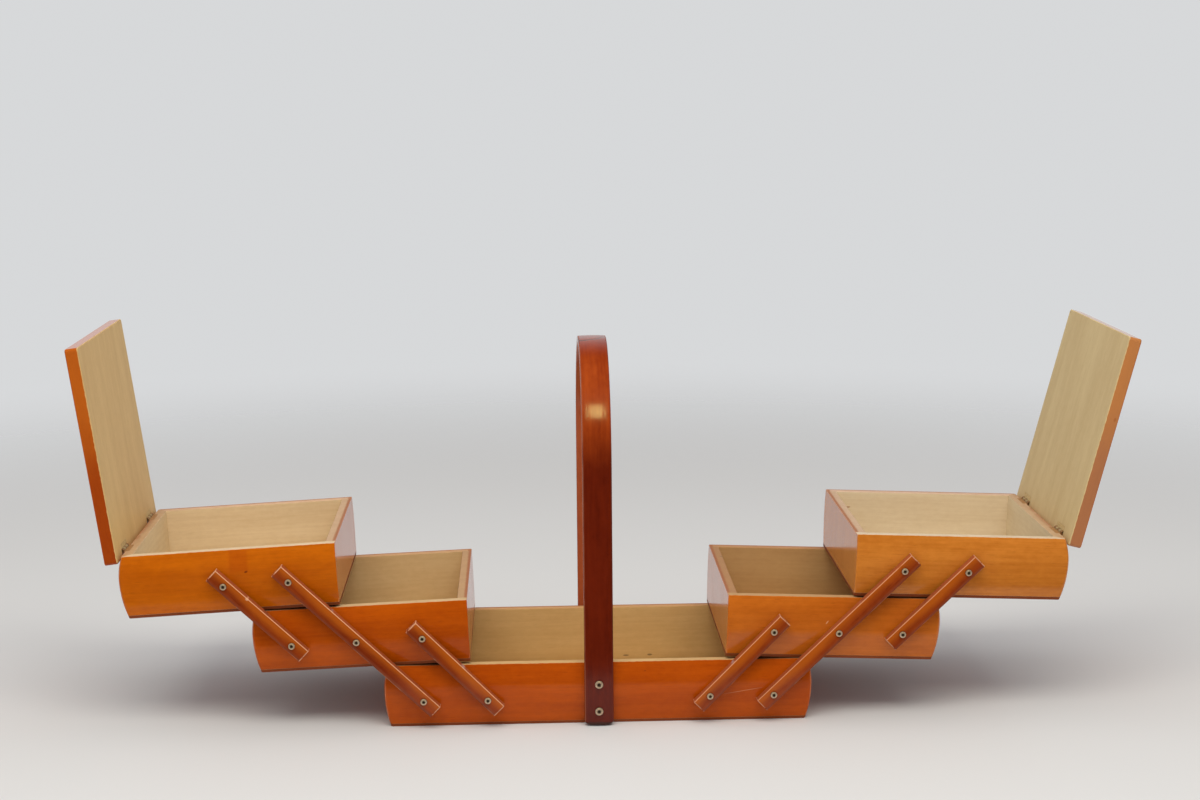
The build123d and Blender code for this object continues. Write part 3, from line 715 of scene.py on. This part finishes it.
def arm_wood(node, place, seed, size, outer):
    """Red-brown varnished arm, worn pale along its outer edges and at its square ends. Painted light and
    shade: a lighter upper part and sides, a darker lower band, and painted highlights along its edges.
    """
    shader = Shader(f"{node}_wood")
    here = shader.place(place)
    along, across, up = shader.split(here)
    grain = Grain(shader, here, seed, ARM_RING)
    from_face = shader.math("ABSOLUTE", shader.math("SUBTRACT", across, outer))
    from_top = shader.math("SUBTRACT", size.z, up)
    from_side = shader.math("MINIMUM", up, from_top)
    from_end = shader.math("MINIMUM", along, shader.math("SUBTRACT", size.x, along))
    cloud = shader.noise(here, *ARM_CLOUDS)
    # painted light: the outer face lighter towards its upper edge, as a full face catches more light from
    # above
    lightened = shader.step(shader.linear(cloud, ARM_LIT_TOP_WANDER, from_top), *ARM_LIT_TOP_BAND)
    colour = shader.over(grain.colour(ARM), lightened, ARM_LIT_TOP_SHARE, ARM_LIT_TOP)
    # painted shade: the outer face darker and browner along its lower edge, where it turns away from the
    # light
    low = shader.step(shader.linear(cloud, ARM_LOW_SHADE_WANDER, up), *ARM_LOW_SHADE_BAND)
    colour = shader.over(colour, low, ARM_LOW_SHADE_SHARE, ARM_LOW_SHADE)
    # painted light: the sides, away from the outer face, lighter and pinker, as where light from above falls
    # on them
    colour = shader.over(colour, shader.step(from_face, *ARM_SIDE_LIT_BAND), ARM_SIDE_LIT_SHARE, ARM_SIDE_LIT)
    # varnish worn off in patches along the edges; the pale lines along the upper edge and round the ends are
    # also painted highlights of the rounded edges
    patch = shader.noise(here, *ARM_PATCHES)
    patched = {part: shader.step(patch, *limits) for part, limits in ARM_PATCHED.items()}
    top_edge_worn_and_glint = shader.step(shader.math("MAXIMUM", from_face, from_top), *ARM_EDGE)
    low_edge = shader.step(shader.math("MAXIMUM", from_face, up), *ARM_EDGE)
    end_edge_worn_and_glint = shader.either(shader.step(shader.math("MAXIMUM", from_face, from_end), *ARM_END_EDGE),
                             shader.step(shader.math("MAXIMUM", from_side, from_end), *ARM_END_CORNER))
    butt = shader.step(from_end, *ARM_BUTT)
    worn = shader.either(shader.times(top_edge_worn_and_glint, patched["top"]),
                         shader.times(low_edge, shader.times(patched["low"], ARM_LOW_EDGE_SHARE)),
                         shader.times(end_edge_worn_and_glint, patched["end"]),
                         shader.times(shader.times(butt, patched["butt"]), ARM_BUTT_SHARE))
    colour = shader.over(colour, worn, ARM_WORN_SHARE[node.split("_")[0]], WORN)
    colour = shader.marked(colour, here, place, node)
    roughness = shader.linear(worn, BARE_ROUGHNESS["arm"], VARNISH_ROUGHNESS["arm"])
    return shader.finish(colour, roughness, grain.relief(), RELIEF["arm"], specular=SPECULAR["arm"])


def crack_across(shader, here, along, across):
    """Mask of the dark crack that curves across the handle's crown."""
    wander = shader.linear(shader.noise(here, *CRACK_WANDER), CRACK_WAVER,
                         -CRACK_ALONG - CRACK_WAVER / 2)
    off_left = shader.math("ADD", across, CRACK_LEFT)
    bow = shader.times(shader.times(off_left, off_left), CRACK_BOW)
    line = shader.math("SUBTRACT", shader.math("ADD", along, wander), bow)
    return shader.step(shader.math("ABSOLUTE", line), *CRACK_WIDTH)


def handle_wood():
    """Mahogany-red bent wood, lighter round its bend, its inner face painted lighter where the front light
    falls on it. Its grain place holds the way along the hoop from its middle, x and depth."""
    shader = Shader("handle_wood")
    here = shader.add("Attribute", {}, attribute_name=GRAIN_PLACE).outputs["Vector"]
    along, across, depth = shader.split(here)
    from_crown = shader.math("ABSOLUTE", along)
    grain = Grain(shader, here, HANDLE_SEED, HANDLE_RING, HANDLE_RING_SHARE)
    legs, bend, inner = (grain.colour(wood, fleck_share=FLECK_SHARE["handle"])
                         for wood in (LEGS, BEND, HANDLE_INNER_LIT))
    crown = shader.step(from_crown, *CROWN_TO)
    bend = shader.mix(crown, bend, shader.vector("MULTIPLY", bend, CROWN_TONE))
    cloud = shader.times(shader.noise(here, *HANDLE_CLOUDS), HANDLE_CLOUD_REACH)
    colour = shader.mix(shader.step(shader.math("ADD", from_crown, cloud), *LEGS_FROM), bend, legs)
    # painted light: the inner face lighter and browner, where the front light falls on it
    start, end = HANDLE_INNER_FACE
    inside = shader.step(depth, HANDLE_THICKNESS - start, HANDLE_THICKNESS - end)
    colour = shader.mix(inside, colour, inner)
    # varnish rubbed off the outer edges, most on the left
    from_side = shader.math("SUBTRACT", HANDLE_WIDTH / 2, shader.math("ABSOLUTE", across))
    edge = shader.math("MAXIMUM", from_side, depth)
    patch = shader.noise(here, *HANDLE_PATCHES)
    worn = shader.times(shader.step(edge, *HANDLE_WORN_EDGE), shader.step(patch, *HANDLE_PATCHED))
    worn = shader.times(worn, shader.step(across, *HANDLE_WORN_LEFT))
    colour = shader.over(colour, worn, HANDLE_WORN_SHARE, HANDLE_WORN)
    crack = crack_across(shader, here, along, across)
    colour = shader.over(colour, crack, CRACK_SHARE, GRIME)
    # darker at the feet
    rise = shader.split(shader.coordinates())[UP_AXIS]
    darkened = shader.step(shader.linear(patch, FOOT_DARK_WANDER, rise), *FOOT_DARK)
    colour = shader.over(colour, darkened, FOOT_DARK_SHARE, GRIME)
    height = shader.linear(shader.noise(here, *HANDLE_WAVES), WAVE_HEIGHT, grain.relief())
    height = shader.linear(crack, -CRACK_DEPTH, height)
    dull = shader.either(worn, shader.step(edge, *HANDLE_DULL_EDGE))
    roughness = shader.linear(dull, BARE_ROUGHNESS["handle"], VARNISH_ROUGHNESS["handle"])
    return shader.finish(colour, roughness, height, RELIEF["handle"], specular=SPECULAR["handle"])


def plated():
    """Dull plated steel, with old dirt in the cross recess and round the head."""
    shader = Shader("dull_plating")
    here = shader.coordinates()
    dirt = shader.add("Attribute", {}, attribute_name=DIRT).outputs["Fac"]
    tarnish = shader.noise(here, *SCREW_TARNISH)
    colour = shader.mix(shader.step(tarnish, *SCREW_TARNISHED), PLATING, toned(PLATING, PLATING_TARNISH))
    dirty = shader.step(shader.linear(tarnish, DIRT_RAGGED, dirt), *DIRTY_FROM)
    colour = shader.mix(dirty, colour, SCREW_DIRT)
    clean_roughness = shader.linear(tarnish, *PLATING_ROUGHNESS)
    roughness = shader.linear(dirty, DIRT_ROUGHNESS, clean_roughness)
    return shader.finish(colour, roughness, tarnish, RELIEF["metal"], PLATING_METALLIC)


def brassed(side_name, part):
    """Dull brass of a lid's hinges, stained like the wood it lies on and dark with old oil round the pins."""
    shader = Shader(f"{side_name}_{part}_brass")
    pins = corners(f"{side_name}_hinge_pins")
    middle = (pins.min(0) + pins.max(0)) / 2
    here = shader.coordinates()
    tarnish = shader.noise(here, *HINGE_TARNISH)
    brass = BRASS[part]
    colour = shader.mix(shader.step(tarnish, *BRASS_TARNISHED), brass, toned(brass, BRASS_TARNISH))
    off = shader.vector("MULTIPLY", shader.vector("SUBTRACT", here, middle), IN_PROFILE)
    oil = shader.step(shader.linear(tarnish, OIL_WANDER, shader.length(off)), *OIL_REACH)
    colour = shader.over(colour, oil, OIL_SHARE, GRIME)
    roughness = shader.linear(tarnish, *BRASS_ROUGHNESS)
    return shader.finish(colour, roughness, tarnish, RELIEF["metal"], BRASS_METALLIC, SPECULAR["brass"])


def wear(node, material):
    """Give a CAD node its material."""
    data = nodes[node].data
    if data.materials:
        data.materials[0] = material
    else:
        data.materials.append(material)


# Boards
boxes = {"base": 1}
for side_name, side in SIDES.items():
    for tier in ("mid", "top"):
        boxes[f"{side_name}_{tier}"] = side
for number, (box, side) in enumerate(boxes.items()):
    place = box_place(box, side)
    ends = ("left_end", "right_end") if box == "base" else ("inner_end", "outer_end")
    hollow = (
        [face_at(f"{box}_{end}", place, LONG_AXIS, way) for end, way in zip(ends, (1, -1))],
        sorted(face_at(f"{box}_{face_name}_wall", place, DEPTH_AXIS, -face * side)
               for face_name, face in FACES.items()),
        face_at(f"{box}_front_wall", place, UP_AXIS, 1),
    )
    wall_specular = SPECULAR[box.split("_")[0]]
    end_specular = wall_specular if box == "base" else SPECULAR["tray_end"]
    for face_name, face in FACES.items():
        node = f"{box}_{face_name}_wall"
        wear(node, board(node, box, place, "xzy", 3 * number + face, hollow, wall_specular))
    for end in ends:
        node = f"{box}_{end}"
        turn = "zyx" if end == "inner_end" else "yzx"
        wear(node, board(node, box, place, turn, END_SEED + number, hollow, end_specular))
    node = f"{box}_floor"
    wear(node, floor_board(node, box, place, FLOOR_SEED + number, face_at(node, place, UP_AXIS, 1)))

# Lids and arms
for side_name, side in SIDES.items():
    node = f"{side_name}_lid"
    place = lid_place(node, side)
    wear(node, lid_board(node, place, LID_SEED + side, span(node, place)))
    for face_name, face in FACES.items():
        for number, reach in enumerate(("long", "inner", "outer")):
            node = f"{side_name}_{face_name}_{reach}_arm"
            place = arm_place(node)
            outer = face_at(node, place, DEPTH_AXIS, face)
            seed = ARM_SEED + 3 * number + side + 7 * face
            wear(node, arm_wood(node, place, seed, span(node, place), outer))

# Hinges
for side_name in SIDES:
    for part in BRASS:
        brass = brassed(side_name, part)
        for node in nodes:
            if node.startswith(f"{side_name}_{part}_") and ("hinge" in node or "leaf_screws" in node):
                wear(node, brass)


# Handle and screws

def clamped(value):
    return min(1.0, max(0.0, value))


def smooth(mesh):
    """Smooth shading, with sharp edges kept sharp."""
    mesh.shade_smooth()
    mesh.set_sharp_from_angle(angle=SHARP_ANGLE)


def piece_of(name, vertices, faces, material, body, node):
    """A piece that stands for a CAD node and rides on a body."""
    mesh = bpy.data.meshes.new(name)
    mesh.from_pydata(vertices, [], faces)
    form = bmesh.new()
    form.from_mesh(mesh)
    bmesh.ops.recalc_face_normals(form, faces=form.faces)
    form.to_mesh(mesh)
    form.free()
    smooth(mesh)
    mesh.materials.append(material)
    piece = bpy.data.objects.new(name, mesh)
    scene.collection.objects.link(piece)
    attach(piece, body)
    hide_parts(node)
    return piece


def handle_section(half_width):
    """Outline (x, depth) of the handle: round edges, and an outer face that is slightly full."""
    flat = half_width - HANDLE_EDGE_ROUND
    outer, inner = HANDLE_EDGE_ROUND + HANDLE_CROWN, HANDLE_THICKNESS - HANDLE_EDGE_ROUND
    outline = []
    for x, depth, start in ((flat, inner, 90), (flat, outer, 0), (-flat, outer, -90), (-flat, inner, -180)):
        if start == -90:
            across_face = np.linspace(flat, -flat, HANDLE_FACE_STEPS + 1)[1:-1]
            outline += [(part, HANDLE_CROWN * (part / flat) ** 2) for part in across_face]
        for angle in np.radians(np.linspace(start, start - 90, HANDLE_EDGE_STEPS + 1)):
            outline.append((x + HANDLE_EDGE_ROUND * cos(angle), depth + HANDLE_EDGE_ROUND * sin(angle)))
    return outline


def handle_path(top, bend, reach, foot):
    """Stations (y, z, way out y, way out z, length so far) of the handle's outer face, front to back."""
    spring = top - bend
    flat = reach - bend
    rounded = foot + HANDLE_FOOT_ROUND
    levels = np.concatenate((foot + np.linspace(0, HANDLE_FOOT_ROUND, HANDLE_FOOT_STEPS + 1)[:-1],
                             np.arange(rounded, spring - HANDLE_LEG_END, HANDLE_LEG_STEP)))
    half = [(-reach, z, -1.0, 0.0) for z in levels]
    for angle in np.linspace(0, pi / 2, HANDLE_BEND_STEPS + 1):
        half.append((-flat - bend * cos(angle), spring + bend * sin(angle), -cos(angle), sin(angle)))
    half.append((-flat / 2, top, 0.0, 1.0))
    whole = half + [(0.0, top, 0.0, 1.0)] + [(-y, z, -out_y, out_z) for y, z, out_y, out_z in reversed(half)]
    run = 0.0
    for number, station in enumerate(whole):
        if number:
            before = whole[number - 1]
            run += ((station[0] - before[0]) ** 2 + (station[1] - before[1]) ** 2) ** 0.5
        whole[number] = (*station, run)
    return whole


def make_handle():
    """The hoop, with its outer face slightly full and its edges eased by wear."""
    points = corners("carry_handle")
    low, high = points.min(0), points.max(0)
    middle = (low[0] + high[0]) / 2
    half_width = (high[0] - low[0]) / 2
    vertices, faces, grain_place = [], [], []
    path = handle_path(high[2], HANDLE_BEND, high[1], low[2])
    middle_run = path[-1][-1] / 2
    for y, z, out_y, out_z, run in path:
        foot = max(0.0, HANDLE_FOOT_ROUND - (z - low[2]))
        trim = HANDLE_FOOT_ROUND - (HANDLE_FOOT_ROUND ** 2 - foot ** 2) ** 0.5
        for x, depth in handle_section(half_width - trim):
            vertices.append((middle + x, y - out_y * depth, z - out_z * depth))
            grain_place.append((run - middle_run, x, depth))
    ring = len(vertices) // len(path)
    for row in range(len(path) - 1):
        for column in range(ring):
            a, b = row * ring + column, row * ring + (column + 1) % ring
            faces.append((a, b, b + ring, a + ring))
    faces.append(tuple(reversed(range(ring))))
    faces.append(tuple(range(len(vertices) - ring, len(vertices))))
    piece = piece_of("bent_handle", vertices, faces, handle_wood(), "base", "carry_handle")
    places = piece.data.attributes.new(GRAIN_PLACE, "FLOAT_VECTOR", "POINT")
    places.data.foreach_set("vector", np.array(grain_place).ravel())


def screw_spots(node):
    """(x, z, way out, top, tip) of each screw in a CAD node."""
    spots = []
    for point in corners(node):
        for spot in spots:
            apart = abs(spot[0][0] - point[0]) + abs(spot[0][2] - point[2])
            if spot[0][1] * point[1] > 0 and apart < SCREW_APART:
                spot.append(point)
                break
        else:
            spots.append([point])
    for spot in spots:
        points = np.array(spot)
        way = 1 if points[0, 1] > 0 else -1
        low, high = points.min(0), points.max(0)
        depth = np.abs(points[:, 1])
        yield (low[0] + high[0]) / 2, (low[2] + high[2]) / 2, way, depth.max(), depth.min()


def head_height(across, up, radius, height):
    """Height of a domed head with a cross recess, over its seat, and how deep the point is in the recess."""
    share = (across ** 2 + up ** 2) ** 0.5 / radius
    dome = height * (HEAD_SIDE + (1 - HEAD_SIDE) * max(0.0, 1 - share ** HEAD_FULLNESS) ** 0.5)
    sunk = 0.0
    for on, beside in ((across, up), (up, across)):
        reach = 1 - abs(on) / (RECESS_REACH * radius)
        wall = 1 - (abs(beside) - RECESS_HALF_WIDTH * radius) / (RECESS_WALL * radius)
        sunk = max(sunk, clamped(wall) * clamped(RECESS_END * reach))
    return dome - sunk * RECESS_DEPTH * height, sunk


def make_screws(node, body, size):
    """Cross-recess screws in place of a CAD node's plain ones."""
    radius, height, shank = size
    vertices, faces, dirt = [], [], []
    round_trip = [2 * pi * step / HEAD_STEPS for step in range(HEAD_STEPS)]
    dirt_to, dirt_fade = DIRT_MIDDLE
    for x, z, way, top, tip in screw_spots(node):
        seat = top - height
        turn = dice.uniform(0, 2 * pi)
        first = len(vertices)

        def put(across, up, level, darkened):
            vertices.append((x + across * cos(turn) - up * sin(turn), way * level,
                             z + across * sin(turn) + up * cos(turn)))
            dirt.append(darkened)

        put(0, 0, seat + head_height(0, 0, radius, height)[0], 1.0)
        for share in HEAD_RINGS:
            in_middle = DIRT_IN_MIDDLE * clamped((dirt_to - share) / dirt_fade)
            for angle in round_trip:
                across, up = share * radius * cos(angle), share * radius * sin(angle)
                lift, sunk = head_height(across, up, radius, height)
                put(across, up, seat + lift, max(sunk, DIRT_AT_EDGE * (share > HEAD_CORNER), in_middle))
        # side of the head, its underside and the shank down to the tip
        levels = [(HEAD_CORNER, seat), (shank / radius, seat)]
        levels += [(shank / radius * share, tip + before) for share, before in SHANK_END]
        for share, level in levels:
            for angle in round_trip:
                put(share * radius * cos(angle), share * radius * sin(angle), level, DIRT_AT_SIDE)
        gaps = len(HEAD_RINGS) + len(levels) - 1
        for step in range(HEAD_STEPS):
            follow = (step + 1) % HEAD_STEPS
            faces.append((first, first + 1 + follow, first + 1 + step))
            for ring in range(gaps):
                a = first + 1 + ring * HEAD_STEPS + step
                b = first + 1 + ring * HEAD_STEPS + follow
                faces.append((a, b, b + HEAD_STEPS, a + HEAD_STEPS))
        last = first + 1 + gaps * HEAD_STEPS
        faces.append(tuple(range(last, last + HEAD_STEPS)))
    piece = piece_of(f"{node}_heads", vertices, faces, plating, body, node)
    piece.data.attributes.new(DIRT, "FLOAT", "POINT").data.foreach_set("value", dirt)


dice = Random(7)
make_handle()
plating = plated()
make_screws("handle_screws", "base", SCREW_SIZE["handle"])
for box in boxes:
    body = "base" if box == "base" else f"{box}_tray"
    make_screws(f"{box}_pivot_screws", body, SCREW_SIZE["pivot"])


# Stage

def make_floor():
    """Pale floor that fades into the backdrop. A glossy surface sees it end in front of the carrier."""
    half = FLOOR_HALF
    square = [(-half, -half, 0), (half, -half, 0), (half, half, 0), (-half, half, 0)]
    mesh = bpy.data.meshes.new("stage_floor")
    mesh.from_pydata(square, [], [(0, 1, 2, 3)])
    floor = bpy.data.objects.new("stage_floor", mesh)
    scene.collection.objects.link(floor)
    shader = Shader("stage_floor")
    here = shader.coordinates()
    fade = shader.step(shader.length(here), *FLOOR_FADE)
    glossy = shader.add("LightPath", {}).outputs["Is Glossy Ray"]
    ahead = shader.step(shader.split(here)[DEPTH_AXIS],
                        FLOOR_SEEN_TO + FLOOR_SEEN_BLUR, FLOOR_SEEN_TO - FLOOR_SEEN_BLUR)
    gone = shader.either(fade, shader.times(glossy, ahead))
    surface = shader.add("BsdfPrincipled", {"Base Color": FLOOR_COLOUR, "Roughness": FLOOR_ROUGHNESS})
    clear = shader.add("BsdfTransparent", {})
    both = shader.add("MixShader", {0: gone, 1: surface.outputs[0], 2: clear.outputs[0]})
    shader.add("OutputMaterial", {"Surface": both.outputs[0]})
    mesh.materials.append(shader.owner)


def make_world():
    """Pale backdrop and even light. Varnish sees a dark room, with the backdrop behind the carrier."""
    world = bpy.data.worlds.new("studio")
    scene.world = world
    shader = Shader("studio", world)
    heading = shader.split(shader.add("TexCoord", {}).outputs["Generated"])
    paths = shader.add("LightPath", {}).outputs
    behind = shader.step(heading[DEPTH_AXIS], *BACKDROP_FROM)
    seen = shader.mix(behind, ROOM, BACKDROP)
    light = shader.mix(paths["Is Glossy Ray"], ROOM_LIGHT, seen)
    light = shader.mix(paths["Is Camera Ray"], light, BACKDROP)
    surface = shader.add("Background", {"Color": light, "Strength": 1.0})
    shader.add("OutputWorld", {"Surface": surface.outputs[0]})


def soft_light(name, place, size, power, colour=(1, 1, 1), aim=(0, 0, 0), mirrored=False):
    """Rectangular studio light. A mirrored one only shows in the varnish, and the others only light."""
    lamp = bpy.data.lights.new(name, "AREA")
    lamp.shape = "RECTANGLE"
    lamp.size, lamp.size_y = size
    lamp.energy = power
    lamp.color = colour
    holder = bpy.data.objects.new(name, lamp)
    holder.location = place
    holder.rotation_euler = (Vector(aim) - Vector(place)).to_track_quat("-Z", "Y").to_euler()
    holder.visible_glossy = mirrored
    holder.visible_diffuse = not mirrored
    scene.collection.objects.link(holder)


make_floor()
make_world()
soft_light("key", (-0.05, -1.25, 2.15), (2.6, 1.0), 37, (1.0, 0.98, 0.90))
soft_light("overhead", (-0.05, -0.1, 2.3), (1.8, 1.4), 7)
soft_light("front", (0.076, -1.59, 1.91), (0.19, 0.5), 8.0, (1.0, 0.93, 0.34), aim=(0, -0.098, 0.296),
           mirrored=True)

# Camera
yaw, pitch, roll = radians(CAMERA_YAW), radians(CAMERA_PITCH), radians(CAMERA_ROLL)
forward = Vector((sin(yaw) * cos(pitch), cos(yaw) * cos(pitch), -sin(pitch)))
level = Vector((cos(yaw), -sin(yaw), 0))
upright = level.cross(forward)
right = cos(roll) * level + sin(roll) * upright
top = -sin(roll) * level + cos(roll) * upright
lens = bpy.data.cameras.new("camera")
lens.sensor_fit = "HORIZONTAL"
lens.sensor_width = SENSOR
lens.lens = FOCAL_PIXELS / IMAGE_WIDTH * SENSOR
camera = bpy.data.objects.new("camera", lens)
camera.matrix_world = Matrix.Translation(CAMERA_AT) @ Matrix((right, top, -forward)).transposed().to_4x4()
scene.collection.objects.link(camera)
scene.camera = camera

scene.view_settings.view_transform = "Standard"
